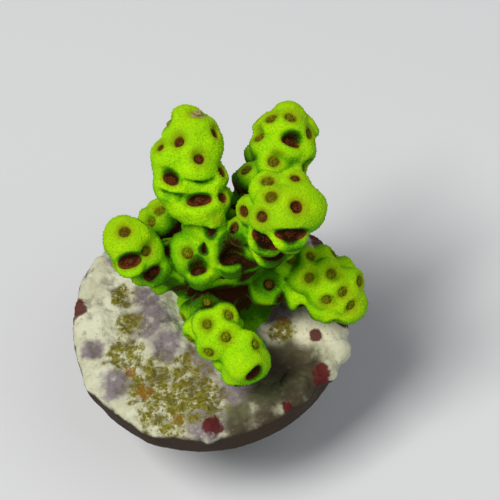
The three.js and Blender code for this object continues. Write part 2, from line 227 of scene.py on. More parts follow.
PLUG_COARSENESS = 1.25
DISC_THICKNESS = 3.5
STEM_RADII = (5.0, 5.5)  # at the foot and under the disc
EDGE_ROUNDING = 0.4
TOP_ROUNDING = 0.8
CRUST_LUMPS = [
    (7.6, -1.3, 1.3, 1.3), (8.9, -3.0, 1.2, 1.1), (10.2, -3.2, 1.2, 1.5), (11.0, -4.9, 1.3, 1.6),
    (10.8, -6.9, 1.3, 1.3), (9.3, -8.6, 1.2, 1.1), (6.3, -3.3, 1.1, 0.9), (11.5, -2.4, 0.9, 0.9),
    (8.9, -5.0, 0.8, 0.8), (9.3, -6.7, 0.7, 0.6), (7.6, -4.6, 0.8, 0.6),
    (-5.6, -1.9, 1.7, 1.0), (-4.0, -1.2, 1.5, 1.3), (-0.9, -4.0, 1.8, 1.2), (-3.0, -3.0, 1.6, 1.1),
    (-4.4, 1.2, 1.5, 1.0), (-3.6, 3.4, 1.5, 0.9), (1.6, -5.2, 1.6, 0.9), (4.2, -4.6, 1.6, 0.9),
    (6.8, 1.6, 1.6, 1.0), (6.6, 4.2, 1.7, 0.9), (3.6, 6.4, 1.8, 1.0), (0.2, 6.2, 1.8, 0.9),
    (-9.6, 2.0, 2.4, 0.4), (-8.5, 6.0, 2.8, 0.35), (-10.3, -3.8, 2.0, 0.5), (-2.2, -10.6, 1.8, 0.5),
    (2.6, -10.2, 1.7, 0.7), (6.4, -9.6, 1.5, 0.8), (-6.5, -9.0, 2.0, 0.45), (0.5, 10.4, 2.2, 0.6),
    (6.5, 9.0, 2.0, 0.8), (10.4, 4.2, 1.7, 0.9), (-4.5, 9.6, 2.2, 0.5), (9.8, 0.8, 1.5, 0.8),
]
SMALL_LUMPS = 160
SMALL_LUMP_SIZES = (0.35, 0.95)
MAROON_PATCHES = [(-11.9, 4.0, 1.1), (-1.7, -11.7, 0.85), (9.2, -5.3, 0.6), (8.9, -9.2, 0.8),
                  (11.9, -4.6, 0.7), (4.5, 11.6, 1.5), (12.0, 5.0, 1.2), (5.2, -11.4, 0.5)]
# Bright cream crust, made brighter as painted light right of the front branch.
CREAM_AND_LIGHT_PATCHES = [(5.4, -3.9, 1.3), (8.6, -4.4, 1.5), (7.2, -3.6, 1.2), (10.4, -5.4, 1.3)]
MAUVE_PATCHES = [(-5.2, 0.6, 2.1), (-4.9, 3.2, 1.5), (-9.4, -5.2, 1.5), (6.3, -2.4, 1.2),
                 (-0.9, -4.6, 1.9), (-4.2, -2.6, 1.5), (-2.4, -11.2, 1.8), (0.8, -8.4, 1.5),
                 (-11.0, -1.0, 1.1), (4.0, 9.0, 2.8), (-6.0, 8.5, 2.0), (9.5, 6.5, 1.8), (3.0, -6.0, 1.4)]
OLIVE_PATCHES = [(-6.2, -5.9, 2.3), (-2.9, -6.6, 2.3), (-2.4, -8.9, 2.2), (-5.4, -9.0, 2.3),
                 (6.3, -3.9, 1.1), (-7.2, 0.8, 1.2), (-8.2, -2.2, 1.6), (-1.0, 8.4, 2.4), (-7.5, 4.0, 1.1),
                 (7.9, 4.9, 1.6)]
ORANGE_PATCHES = [(-8.0, -4.2, 0.5), (-7.0, -6.5, 0.8), (6.5, -3.1, 0.5), (-3.0, 9.8, 0.6),
                  (-4.6, -10.0, 0.5)]
# A grey-green algae film that is also painted shade over the disc's right and front.
FILM_AND_SHADE_PATCHES = [(3.4, -9.0, 2.8), (6.6, -8.6, 2.8), (0.9, -11.0, 1.6), (7.0, -6.2, 2.2),
                 (5.0, -6.0, 2.0), (8.5, 2.5, 2.4), (2.0, -6.8, 1.6)]
# Painted shadow of the coral on the disc's right and front, laid on as a dark brown film.
PAINTED_SHADOW_PATCHES = [(5.0, -6.6, 1.5), (6.4, -7.6, 1.6), (8.2, -8.0, 1.0), (3.4, -5.2, 1.3),
                (7.4, -10.4, 1.0), (8.2, -9.6, 1.1), (6.0, -11.0, 1.3), (3.2, -12.1, 1.3),
                (0.4, -12.5, 1.2)]

# Clay


class Clay:
    """Distances on a lattice between two corners, below 0 inside the form."""

    def __init__(self, low, high, step=CLAY_STEP):
        self.step = step
        self.low = np.asarray(low, float)
        cells = np.ceil((np.asarray(high) - self.low) / (step * COARSE)).astype(int) * COARSE
        self.values = np.full(cells + 1, FAR, np.float32)

    def patch(self, low, high):
        """The part of the lattice between two corners: its slices and its coordinates."""
        first = np.floor((np.asarray(low) - self.low) / self.step).astype(int)
        last = np.ceil((np.asarray(high) - self.low) / self.step).astype(int) + 1
        first = np.clip(first, 0, self.values.shape)
        last = np.clip(last, first, self.values.shape)
        slices = tuple(slice(a, b) for a, b in zip(first, last))
        axes = [self.low[k] + self.step * np.arange(first[k], last[k]) for k in range(3)]
        return slices, np.meshgrid(*[a.astype(np.float32) for a in axes], indexing="ij", sparse=True)

    def add(self, low, high, shape, blend):
        slices, place = self.patch(low, high)
        self.values[slices] = soft_union(self.values[slices], shape(*place), blend)

    def cut(self, low, high, shape, blend):
        slices, place = self.patch(low, high)
        self.values[slices] = -soft_union(-self.values[slices], shape(*place), blend)


def soft_union(a, b, blend):
    near = np.maximum(blend - np.abs(a - b), 0) / blend
    return np.minimum(a, b) - near * near * (blend / 4)


def read_at(values, low, step, points):
    """The lattice's value at each point, blended between its eight neighbours."""
    place = (points - low) / step
    place = np.clip(place, 0, np.array(values.shape) - 1.001)
    cell = place.astype(int)
    share = place - cell
    total = np.zeros(len(points))
    for corner in np.ndindex(2, 2, 2):
        weight = np.prod(np.where(corner, share, 1 - share), axis=1)
        total += weight * values[tuple((cell + corner).T)]
    return total


def finer(coarse):
    """The coarse lattice filled in to the fine one."""
    for axis in range(3):
        a = np.moveaxis(coarse, axis, 0)
        filled = np.empty(((len(a) - 1) * COARSE + 1, *a.shape[1:]), np.float32)
        for i in range(COARSE):
            filled[i::COARSE][:len(a) - 1] = a[:-1] + (a[1:] - a[:-1]) * (i / COARSE)
        filled[-1] = a[-1]
        coarse = np.moveaxis(filled, 0, axis)
    return coarse


def blurred(values, reach):
    """The mean over a box of points that reaches this many to each side, done twice."""
    width = 2 * reach + 1
    for axis in (0, 1, 2, 0, 1, 2):
        a = np.moveaxis(values, axis, 0)
        padded = np.concatenate([a[:1]] * (reach + 1) + [a] + [a[-1:]] * reach)
        sums = np.cumsum(padded, axis=0, dtype=np.float64)
        values = np.moveaxis((sums[width:] - sums[:-width]) / width, 0, axis)
    return values


def slid(layer, cells, axis):
    """The layer moved by whole cells, with open sky where nothing comes in."""
    moved = np.ones_like(layer)
    size = layer.shape[axis]
    if abs(cells) < size:
        source = np.moveaxis(layer, axis, 0)[max(-cells, 0):size + min(-cells, 0)]
        np.moveaxis(moved, axis, 0)[max(cells, 0):size + min(cells, 0)] = source
    return moved


def open_sky(solid, direction):
    """How much light comes down to each lattice point from one direction above, from 0 to 1."""
    light = np.ones_like(solid)
    for k in range(solid.shape[2] - 2, -1, -1):
        layer = light[:, :, k + 1] * (1 - solid[:, :, k + 1])
        for axis in (0, 1):
            offset = -direction[axis] / direction[2]
            whole = math.floor(offset)
            near, far = slid(layer, whole, axis), slid(layer, whole + 1, axis)
            layer = near + (far - near) * (offset - whole)
        light[:, :, k] = layer
    return light


def sky_directions():
    """Directions spread over the sky, each with its weight, with more weight in the middle."""
    lean = Matrix.Rotation(math.radians(SKY_TILT), 3, "X")
    spread = []
    for tilt, count, weight in ((0, 1, 1.0), (26, 6, 0.8), (50, 8, 0.35), (80, 8, 0.25)):
        across, rise = math.sin(math.radians(tilt)), math.cos(math.radians(tilt))
        for i in range(count):
            turn = 2 * math.pi * (i + 0.5) / count
            direction = lean @ Vector((across * math.cos(turn), across * math.sin(turn), rise))
            spread.append((np.array(direction), weight))
    return spread


def light_on(solid, low, step, points, outward):
    """The light from the sky that falls on each point of a surface, from 0 to 1."""
    seen = faced = most = 0.0
    for direction, weight in sky_directions():
        share = weight * np.maximum(outward @ direction, 0)
        seen = seen + share * read_at(open_sky(solid, direction), low, step, points + outward * 0.5)
        faced = faced + share
        most += weight
    openness = seen / (faced + 0.03 * most)
    return openness * np.minimum(LIGHT_AT_BACK + (LIGHT_AT_FRONT - LIGHT_AT_BACK) * faced / most, 1)


# Shapes


def swept(points, radii):
    """The distance to a limb of varying radius along a chain of points."""

    def shape(x, y, z):
        nearest = np.float32(FAR)
        for p, q, r, s in zip(points[:-1], points[1:], radii[:-1], radii[1:]):
            d = q - p
            t = ((x - p[0]) * d[0] + (y - p[1]) * d[1] + (z - p[2]) * d[2]) / d.dot(d)
            t = np.clip(t, 0, 1)
            gap = (x - p[0] - t * d[0]) ** 2 + (y - p[1] - t * d[1]) ** 2 + (z - p[2] - t * d[2]) ** 2
            nearest = np.minimum(nearest, np.sqrt(gap) - (r + (s - r) * t))
        return nearest.astype(np.float32)

    return shape


def button(centre, axis, radius, height, squareness, across=None, narrow=1.0):
    """The distance to a round button: a ball at squareness 2, nearer a drum above that. It may be
    narrower in the direction square to both its axis and across."""
    narrow_axis = np.zeros(3) if across is None else np.cross(axis, across) * math.sqrt(1 / narrow ** 2 - 1)

    def shape(x, y, z):
        rx, ry, rz = x - centre[0], y - centre[1], z - centre[2]
        rise = rx * axis[0] + ry * axis[1] + rz * axis[2]
        out = rx * rx + ry * ry + rz * rz - rise * rise
        out = out + (rx * narrow_axis[0] + ry * narrow_axis[1] + rz * narrow_axis[2]) ** 2
        reach = (np.sqrt(np.maximum(out, 0)) / radius) ** squareness + (np.abs(rise) / height) ** squareness
        return ((reach ** (1 / squareness) - 1) * min(radius * narrow, height)).astype(np.float32)

    return shape


# Limbs and cups


def bezier(limb, t):
    a, b, c = (np.array(p, float) for p in limb["path"])
    return (1 - t) ** 2 * a + 2 * t * (1 - t) * b + t * t * c


def directions(limb, t):
    """The limb's own directions at a share t of its length: along, to the front, to the side."""
    a, b, c = (np.array(p, float) for p in limb["path"])
    along = 2 * (1 - t) * (b - a) + 2 * t * (c - b)
    along /= norm(along)
    front = np.array((0, -1, 0)) + along * along[1]
    front /= norm(front)
    return along, front, np.cross(along, front)


def radius_at(limb, t):
    return limb["radii"][0] + (limb["radii"][1] - limb["radii"][0]) * t


def chain(limb, start, end, pieces=12):
    shares = np.linspace(start, end, pieces + 1)
    return np.array([bezier(limb, t) for t in shares]), np.array([radius_at(limb, t) for t in shares])


def seat(limb, cup):
    """Where a cup sits on its limb's surface, and the direction that it opens in."""
    t, over = min(cup[0], 1), max(cup[0] - 1, 0)
    along, front, side = directions(limb, t)
    turn = math.radians(cup[1])
    out = front * math.cos(turn) + side * math.sin(turn)

    def tilted(degrees):
        angle = math.radians(degrees)
        return out * math.cos(angle) + along * math.sin(angle)

    foot = bezier(limb, t) + tilted(90 * over) * radius_at(limb, t)
    opens = tilted(CUP_LEAN + (90 - CUP_LEAN) * over)
    pit = cup[3:5] or (limb.get("pit", PIT_RADIUS),)
    pale = cup[5] if len(cup) > 5 else limb["pale"]
    return cup_at(foot + opens * CUP_RISE, opens, cup[2], pit[0], pit[-1], np.cross(along, out), pale)


def cup_at(mouth, opens, size, wide, tall, across=(1, 0, 0), pale=0.2):
    opens = np.asarray(opens) / norm(opens)
    across = across - opens * np.dot(across, opens)
    slit = tall < SLIT_NARROW * wide and pale <= 1
    return dict(mouth=np.array(mouth, float), opens=opens, size=size, pit=wide, narrow=tall / wide,
                across=across / norm(across), slit=slit, pale=0.0 if slit else pale)


def depth_in(limb, point):
    points, radii = chain(limb, 0, 1, 20)
    return (norm(points - point, axis=1) - radii).min()


def all_seats():
    """The listed cups, and those that a spiral fills in on every limb."""
    rng = np.random.default_rng(SEED)
    seats = [seat(limb, cup) for limb in LIMBS.values() for cup in limb["cups"]]
    seats += [cup_at(*cup) for cup in PLACED_CUPS]
    for name, limb in LIMBS.items():
        others = [other for other in LIMBS.values() if other is not limb]
        last = 1.0 if name == "trunk" else 1.5
        for i in range(SPIRAL_STEPS):
            size = rng.uniform(*FILL_SIZES)
            new = seat(limb, (last * (i + 1) / SPIRAL_STEPS, i * GOLDEN_ANGLE, size))
            mouth = new["mouth"]
            too_near = (mouth[2] < CLEAR_OF_DISC
                        or any(norm(mouth - place[:3]) < place[3] for place in KEPT_CLEAR)
                        or min(norm(s["mouth"] - mouth) for s in seats) < FILL_SPACING
                        or min(depth_in(other, mouth) for other in others) < CLEAR_OF_LIMBS)
            if not too_near:
                seats.append(new)
    return seats


def around(points, reach):
    """The corners of a box that holds one point or several, with room to spare."""
    points = np.atleast_2d(points)
    return points.min(0) - reach, points.max(0) + reach


def crust(x, y, z):
    """The low lobed crust that the trunk rises from."""
    root = LIMBS["trunk"]["path"][0]
    dx, dy = x - root[0], y - root[1]
    angle = np.arctan2(dy, dx)
    lobe = 1 + 0.1 * np.sin(3 * angle + 1) + 0.06 * np.sin(5 * angle) + 0.03 * np.sin(11 * angle)
    out = np.sqrt(dx * dx + dy * dy) / (CRUST_RADIUS * lobe)
    reach = np.sqrt(out ** 2 + (np.maximum(z, 0) / CRUST_HEIGHT) ** 2)
    return ((reach - 1) * CRUST_HEIGHT).astype(np.float32)


def model_coral(seats):
    low, high = around(np.concatenate([chain(limb, 0, 1)[0] for limb in LIMBS.values()]), 5.0)
    low[2] = -0.6
    clay = Clay(low, high)
    for limb in LIMBS.values():
        points, radii = chain(limb, 0, 1)
        clay.add(*around(points, radii.max() + 2.0), swept(points, radii - CORE_SINK), CORE_BLEND)
    clay.add((-9, -9, -1), (12, 12, 4), crust, CRUST_BLEND)
    for points, radii in RIDGES:
        points = np.array(points, float)
        thickness = np.linspace(*radii, len(points))
        clay.add(*around(points, 2), swept(points, thickness), RIDGE_BLEND)
    for *centre, radius in SWELLINGS:
        swelling = button(centre, (0, 0, 1), radius, radius, 2)
        clay.add(*around(centre, radius + 1.5), swelling, RIDGE_BLEND)
    for s in seats:
        height = CUP_HEIGHT * s["size"]
        centre = s["mouth"] - s["opens"] * height
        cup = button(centre, s["opens"], s["size"], height, 2.3)
        clay.add(*around(centre, s["size"] + 1.2), cup, CUP_BLEND)
    for s in seats:
        centre = s["mouth"] - s["opens"] * LIP_SINK
        lip = button(centre, s["opens"], s["pit"] + LIP_WIDTH, LIP_HEIGHT, 2.4)
        clay.add(*around(s["mouth"], 2.0), lip, LIP_BLEND)
    for s in seats:
        depth = SLIT_DEPTH if s["slit"] else PIT_DEPTH
        depth *= 1 - 0.5 * min(s["pale"], 1.5)
        pit = button(s["mouth"], s["opens"], s["pit"], depth, 2.2, s["across"], s["narrow"])
        clay.cut(*around(s["mouth"], 2.4), pit, SLIT_BLEND if s["slit"] else 0.45 + 0.4 * s["pale"])
    for points, radius in GROOVES:
        points = np.array(points, float)
        groove = swept(points, np.full(len(points), radius))
        clay.cut(*around(points, 1.5), groove, 1.2 * radius)
    return clay


def region_edges(clay):
    """For each piece, how far each point of the coarse lattice lies outside its share of the coral."""
    step = clay.step * COARSE
    shape = clay.values[::COARSE, ::COARSE, ::COARSE].shape
    axes = [(clay.low[k] + step * np.arange(shape[k])).astype(np.float32) for k in range(3)]
    place = np.meshgrid(*axes, indexing="ij", sparse=True)
    own = {"trunk": np.minimum(swept(*chain(LIMBS["trunk"], 0, 1))(*place), crust(*place))}
    for name, limb in LIMBS.items():
        if name != "trunk":
            stub = swept(*chain(limb, 0, limb["fork"], 5))(*place)
            own["trunk"] = np.minimum(own["trunk"], stub)
            own[name] = swept(*chain(limb, limb["fork"], 1, 8))(*place)
    edges = {}
    for name in own:
        others = np.minimum.reduce([own[other] for other in own if other != name])
        edges[name] = (own[name] - others) / 2
    return edges


# Meshes


def put_in_scene(name, data):
    obj = bpy.data.objects.new(name, data)
    bpy.context.scene.collection.objects.link(obj)
    return obj


def mesh_object(name, points, faces, material, smooth=True):
    """Makes an object from points in mm above the disc's top."""
    placed = (np.asarray(points) + (0, 0, DISC_TOP)) * MM
    mesh = bpy.data.meshes.new(name)
    mesh.vertices.add(len(placed))
    mesh.vertices.foreach_set("co", placed.astype(np.float32).ravel())
    sides = faces.shape[1]
    mesh.loops.add(faces.size)
    mesh.loops.foreach_set("vertex_index", faces.astype(np.int32).ravel())
    mesh.polygons.add(len(faces))
    mesh.polygons.foreach_set("loop_start", np.arange(0, faces.size, sides, dtype=np.int32))
    mesh.update(calc_edges=True)
    mesh.validate()
    mesh.shade_smooth() if smooth else mesh.shade_flat()
    mesh.materials.append(material)
    return put_in_scene(name, mesh)


def surface_of(values, low, step):
    """The points and four-sided faces of the surface at distance 0, without crumbs."""
    grid = openvdb.FloatGrid(FAR)
    grid.copyFromArray(np.ascontiguousarray(np.clip(values, -FAR, FAR)), tolerance=0.0)
    points, faces = grid.convertToQuads(isovalue=0.0)
    return biggest_shell(points * step + low, faces.astype(int))


def biggest_shell(points, faces):
    """The faces that hang together with the most points, and those points."""
    label = np.arange(len(points))
    while True:
        lowest = label[faces].min(1)
        new = label.copy()
        np.minimum.at(new, faces.ravel(), np.repeat(lowest, faces.shape[1]))
        new = new[new]
        if (new == label).all():
            break
        label = new
    names, counts = np.unique(label, return_counts=True)
    kept_points = label == names[counts.argmax()]
    order = np.cumsum(kept_points) - 1
    return points[kept_points], order[faces[kept_points[faces[:, 0]]]]


def smooth_step(low, high, value):
    t = np.clip((value - low) / (high - low), 0, 1)
    return t * t * (3 - 2 * t)


def slope_at(clay, points):
    """The outward direction of the surface at each point."""
    reach = clay.step
    slope = np.stack([
        read_at(clay.values, clay.low, clay.step, points + reach * axis)
        - read_at(clay.values, clay.low, clay.step, points - reach * axis)
        for axis in np.eye(3)], 1)
    return slope / np.maximum(norm(slope, axis=1, keepdims=True), 1e-9)


def add_masks(obj, **masks):
    """Gives each point of the object's mesh its named values."""
    for name, values in masks.items():
        mask = obj.data.attributes.new(name, "FLOAT", "POINT")
        mask.data.foreach_set("value", np.asarray(values, np.float32))


def around_mouth(s, points, upward):
    """How far each point stands out of a cup's mouth, and its distance from the mouth's axis, where
    a slit's height counts for more. The axis may be moved upward across the slit."""
    gap = points - s["mouth"]
    rise = gap @ s["opens"]
    side = gap @ s["across"]
    tall = gap @ np.cross(s["opens"], s["across"]) - upward
    return rise, np.hypot(side, tall / s["narrow"])


def pit_masks(points, seats):
    """How deep each point lies in a pit, how near it is to a cup's mouth, how pale that cup is, and
    how much painted shade the place gets, in slits and around the listed spots."""
    deep, near, pale, painted_shade = np.zeros((4, len(points)))
    for s in seats:
        close = np.flatnonzero(((points - s["mouth"]) ** 2).sum(1) < 9)
        rise, out = around_mouth(s, points[close], 0.0)
        inside = 1 - smooth_step(s["pit"], s["pit"] + 0.25, out)
        deep[close] = np.maximum(deep[close], inside * smooth_step(0.0, 0.45, -rise))
        ring = (1 - smooth_step(s["pit"] + 0.1, s["pit"] + 0.8, out)) * smooth_step(-0.7, -0.2, rise)
        near[close] = np.maximum(near[close], ring)
        pale[close[out < s["pit"] + 0.8]] = s["pale"]
        # A slit gets painted shade, centred a little above its axis.
        if s["slit"]:
            _, out = around_mouth(s, points[close], 0.2)
            shade = 1 - smooth_step(0.8 * s["pit"], s["pit"] + 0.7, out)
            painted_shade[close] = np.maximum(painted_shade[close], SLIT_SHADE * shade)
    for x, y, z, radius, darkness in PAINTED_SHADE_SPOTS:
        gap = norm(points - (x, y, z), axis=1)
        painted_shade = np.maximum(painted_shade, darkness * (1 - smooth_step(0.35 * radius, radius, gap)))
    return deep, near, pale, painted_shade


# Materials


def fill(tree, made, inputs):
    """Gives a node's inputs their values, each a socket or a plain value."""
    for key, value in inputs.items():
        if isinstance(value, bpy.types.NodeSocket):
            tree.links.new(value, made.inputs[key])
        else:
            made.inputs[key].default_value = value


def node(tree, kind, inputs=None, **settings):
    made = tree.nodes.new(kind)
    for key, value in settings.items():
        setattr(made, key, value)
    fill(tree, made, inputs or {})
    return made


def new_material(name, roughness, specular):
    material = bpy.data.materials.new(name)
    material.use_nodes = True
    tree = material.node_tree
    shader = tree.nodes["Principled BSDF"]
    fill(tree, shader, {"Roughness": roughness, "Specular IOR Level": specular})
    return material, tree, shader


def mask_socket(tree, name):
    return node(tree, "ShaderNodeAttribute", attribute_name=name).outputs["Fac"]


def mixed(tree, factor, *colours):
    """Mixes two colours, each a socket or an (r, g, b) value."""
    a, b = [c if isinstance(c, bpy.types.NodeSocket) else (*c, 1) for c in colours]
    return node(tree, "ShaderNodeMix", {0: factor, 6: a, 7: b}, data_type="RGBA").outputs[2]


def maths(tree, operation, *values):
    return node(tree, "ShaderNodeMath", dict(enumerate(values)), operation=operation).outputs[0]


def times(tree, a, b):
    return maths(tree, "MULTIPLY", a, b)


def ramp(tree, factor, low, high):
    """Turns factor into 0 at low and 1 at high, smoothly between. low may be the greater."""
    return node(tree, "ShaderNodeMapRange", {"Value": factor, "From Min": low, "From Max": high},
                interpolation_type="SMOOTHSTEP").outputs["Result"]


def place_socket(tree):
    """Object coordinates in millimetres."""
    place = node(tree, "ShaderNodeTexCoord").outputs["Object"]
    return node(tree, "ShaderNodeVectorMath", {0: place, "Scale": 1 / MM}, operation="SCALE").outputs[0]


def noise(tree, place, size, detail=3.0, roughness=0.5):
    """Noise with patches of this size in millimetres."""
    return node(tree, "ShaderNodeTexNoise", {
        "Vector": place, "Scale": 1 / size, "Detail": detail, "Roughness": roughness}).outputs["Fac"]


def cells(tree, place, size):
    return node(tree, "ShaderNodeTexVoronoi", {"Vector": place, "Scale": 1 / size}).outputs["Distance"]


def bump(tree, height, distance, strength, **under):
    inputs = {"Height": height, "Distance": distance * MM, "Strength": strength, **under}
    return node(tree, "ShaderNodeBump", inputs).outputs["Normal"]


def coral_material(name):
    """Living skin: bright yellow-green with brown pits. Where the computed light is low it is painted
    deeper green and brown, partly as painted shade and partly as the tissue's own browning, and it
    glows faintly as painted light.
    """
    material, tree, shader = new_material(name, 0.75, 0.05)
    place = place_socket(tree)
    patches = noise(tree, place, 2.2)
    grain = cells(tree, place, 0.2)
    fine = noise(tree, place, 0.16, 2.0)
    skin = mixed(tree, ramp(tree, patches, 0.35, 0.65), (0.27, 0.60, 0.001), (0.38, 0.71, 0.001))
    skin = mixed(tree, times(tree, mask_socket(tree, "tip"), 0.45), skin, (0.38, 0.50, 0.002))
    freckles = times(tree, ramp(tree, grain, 0.35, 0.75), 0.45)
    skin = mixed(tree, freckles, skin, (0.16, 0.46, 0.004))
    pale = times(tree, ramp(tree, fine, 0.55, 0.75), 0.3)
    skin = mixed(tree, pale, skin, (0.54, 0.90, 0.015))
    # A browner ring at each pit's mouth: partly the tissue's own colour, partly painted shade at the rim.
    skin = mixed(tree, times(tree, mask_socket(tree, "mouth"), 0.55), skin, (0.19, 0.18, 0.003))
    wobble = times(tree, maths(tree, "SUBTRACT", fine, 0.5), 0.25)
    # Painted shade: the computed light, lowered in creases, turns the skin deep green and then brown; in part
    # this is the tissue's own browning out of the light.
    lit = maths(tree, "ADD", wobble, mask_socket(tree, "light"))
    lit = maths(tree, "SUBTRACT", lit, times(tree, mask_socket(tree, "crease"), 0.3))
    for bright, dark, colour in ((0.7, 0.42, (0.12, 0.38, 0.001)), (0.45, 0.27, (0.03, 0.13, 0.001)),
                                 (0.24, 0.12, (0.030, 0.008, 0.002))):
        skin = mixed(tree, ramp(tree, lit, bright, dark), skin, colour)
    skin = mixed(tree, ramp(tree, mask_socket(tree, "pit"), 0.0, 0.6), skin, flesh_colour(tree, place))
    swells = bump(tree, noise(tree, place, 0.7), 0.1, 0.35)
    normal = bump(tree, maths(tree, "SUBTRACT", 1.0, grain), 0.05, 0.6, Normal=swells)
    # The skin glows faintly in its own colour: painted light standing in for fluorescence, which brightens
    # its shaded parts.
    fill(tree, shader, {
        "Base Color": skin, "Emission Color": skin, "Emission Strength": 0.12, "Normal": normal,
        "Sheen Weight": 0.12, "Sheen Roughness": 0.3, "Sheen Tint": (0.6, 1.0, 0.02, 1)})
    return material


def flesh_colour(tree, place):
    """Red-brown flesh, or olive where the polyps are pale, and darker where little light falls."""
    speckle = ramp(tree, noise(tree, place, 0.3, 2.0), 0.35, 0.7)
    red = mixed(tree, speckle, (0.085, 0.018, 0.003), (0.15, 0.045, 0.008))
    olive = mixed(tree, speckle, (0.13, 0.15, 0.001), (0.23, 0.27, 0.002))
    mauve = mixed(tree, speckle, (0.34, 0.27, 0.10), (0.46, 0.38, 0.16))
    pale = mask_socket(tree, "pale")
    flesh = mixed(tree, ramp(tree, pale, 0.0, 1.0), red, olive)
    flesh = mixed(tree, ramp(tree, pale, 1.2, 1.7), flesh, mauve)
    # Painted shade: the flesh goes near black where the computed light is low.
    return mixed(tree, ramp(tree, mask_socket(tree, "light"), 0.45, 0.1), flesh, (0.014, 0.006, 0.001))


def polyp_material():
    """The drawn-in polyps."""
    material, tree, shader = new_material("polyp_flesh", 0.6, 0.08)
    fill(tree, shader, {"Base Color": flesh_colour(tree, place_socket(tree))})
    return material


def patch_mask(tree, place, patches, raggedness, softness):
    """1 inside any of the round patches on the disc, with a ragged edge."""
    flat = node(tree, "ShaderNodeVectorMath", {0: place, 1: (1, 1, 0)}, operation="MULTIPLY").outputs[0]
    nearest = None
    for x, y, radius in patches:
        gap = node(tree, "ShaderNodeVectorMath", {0: flat, 1: (x, y, 0)}, operation="DISTANCE")
        out = maths(tree, "DIVIDE", gap.outputs["Value"], radius)
        nearest = out if nearest is None else maths(tree, "MINIMUM", nearest, out)
    wave = maths(tree, "SUBTRACT", noise(tree, place, 0.9, 4.0, 0.6), 0.5)
    ragged = maths(tree, "ADD", nearest, times(tree, wave, raggedness))
    return ramp(tree, ragged, 1 + softness, 1 - softness)


def crust_material():
    """Unglazed ceramic under a crust of cream, mauve, olive and maroon algae, with painted shade in
    its creases, the coral's painted shadow on the disc, and painted light and shade in some patches.
    """
    material, tree, shader = new_material("crusted_ceramic", 0.8, 0.2)
    place = place_socket(tree)
    broad = noise(tree, place, 3.5)
    mottle = noise(tree, place, 0.8, 4.0, 0.65)
    speck = noise(tree, place, 0.28, 3.0, 0.6)
    dots = cells(tree, place, 0.42)
    skin = mixed(tree, ramp(tree, broad, 0.35, 0.65), (0.60, 0.60, 0.41), (0.74, 0.74, 0.55))
    grime = times(tree, ramp(tree, mottle, 0.5, 0.75), 0.25)
    skin = mixed(tree, grime, skin, (0.36, 0.30, 0.22))
    turf = times(tree, ramp(tree, mottle, 0.42, 0.52), ramp(tree, dots, 0.62, 0.35))
    fine_turf = times(tree, ramp(tree, speck, 0.53, 0.6), 0.8)
    layers = [  # patches, raggedness, softness, colour, strength
        (FILM_AND_SHADE_PATCHES, 1.2, 0.5, (0.13, 0.13, 0.06), ramp(tree, mottle, 0.05, 0.4)),
        (CREAM_AND_LIGHT_PATCHES, 1.0, 0.4, (0.85, 0.83, 0.58), 0.9),
        (MAUVE_PATCHES, 1.4, 0.4, (0.25, 0.21, 0.22), ramp(tree, mottle, 0.8, 0.5)),
        (OLIVE_PATCHES, 2.2, 0.4, (0.24, 0.225, 0.03), ramp(tree, mottle, 0.35, 0.52)),
        (OLIVE_PATCHES, 2.6, 0.2, (0.17, 0.145, 0.004), turf),
        (OLIVE_PATCHES, 3.0, 0.2, (0.15, 0.12, 0.01), fine_turf),
        (ORANGE_PATCHES, 2.0, 0.2, (0.26, 0.12, 0.006), ramp(tree, speck, 0.62, 0.45)),
        (PAINTED_SHADOW_PATCHES, 1.2, 0.6, (0.07, 0.055, 0.03), ramp(tree, mottle, 0.0, 0.5)),
        (MAROON_PATCHES, 1.4, 0.2, (0.10, 0.006, 0.008), 0.95),
    ]
    for patches, raggedness, softness, colour, strength in layers:
        mask = patch_mask(tree, place, patches, raggedness, softness)
        skin = mixed(tree, times(tree, mask, strength), skin, colour)
    scattered = times(tree, ramp(tree, speck, 0.62, 0.72), 0.5)
    skin = mixed(tree, scattered, skin, (0.10, 0.075, 0.03))
    # Painted shade in the crust's creases.
    skin = mixed(tree, times(tree, mask_socket(tree, "crease"), 0.45), skin, (0.10, 0.075, 0.05))
    ceramic = mixed(tree, ramp(tree, mottle, 0.35, 0.7), (0.33, 0.30, 0.24), (0.44, 0.41, 0.33))
    skin = mixed(tree, mask_socket(tree, "stem"), skin, ceramic)
    # The disc's side, and less so the stem, turn dark brown, unevenly.
    side_darkening = maths(tree, "ADD", mask_socket(tree, "side"), times(tree, mottle, 0.6))
    skin = mixed(tree, ramp(tree, side_darkening, 0.35, 1.1), skin, (0.045, 0.028, 0.016))
    # Painted shadow of the coral on the disc's top, where the computed sky light is low.
    skin = mixed(tree, ramp(tree, mask_socket(tree, "light"), 0.4, 0.05), skin, (0.03, 0.02, 0.012))
    rough = bump(tree, mottle, 0.25, 0.4)
    fill(tree, shader, {"Base Color": skin, "Normal": bump(tree, speck, 0.1, 0.5, Normal=rough)})
    return material


# Geometry node trees


def new_tree(name, **sockets):
    tree = bpy.data.node_groups.new(name, "GeometryNodeTree")
    for title, kind in {"Geometry": "Geometry", **sockets}.items():
        tree.interface.new_socket(name=title, in_out="INPUT", socket_type="NodeSocket" + kind)
    tree.interface.new_socket(name="Geometry", in_out="OUTPUT", socket_type="NodeSocketGeometry")
    return tree, tree.nodes.new("NodeGroupInput").outputs, tree.nodes.new("NodeGroupOutput")


def attribute_socket(tree, name, kind="FLOAT"):
    return node(tree, "GeometryNodeInputNamedAttribute", {"Name": name}, data_type=kind).outputs["Attribute"]


def joined(tree, parts):
    join = node(tree, "GeometryNodeJoinGeometry")
    for part in parts:
        tree.links.new(part, join.inputs["Geometry"])
    return join.outputs["Geometry"]


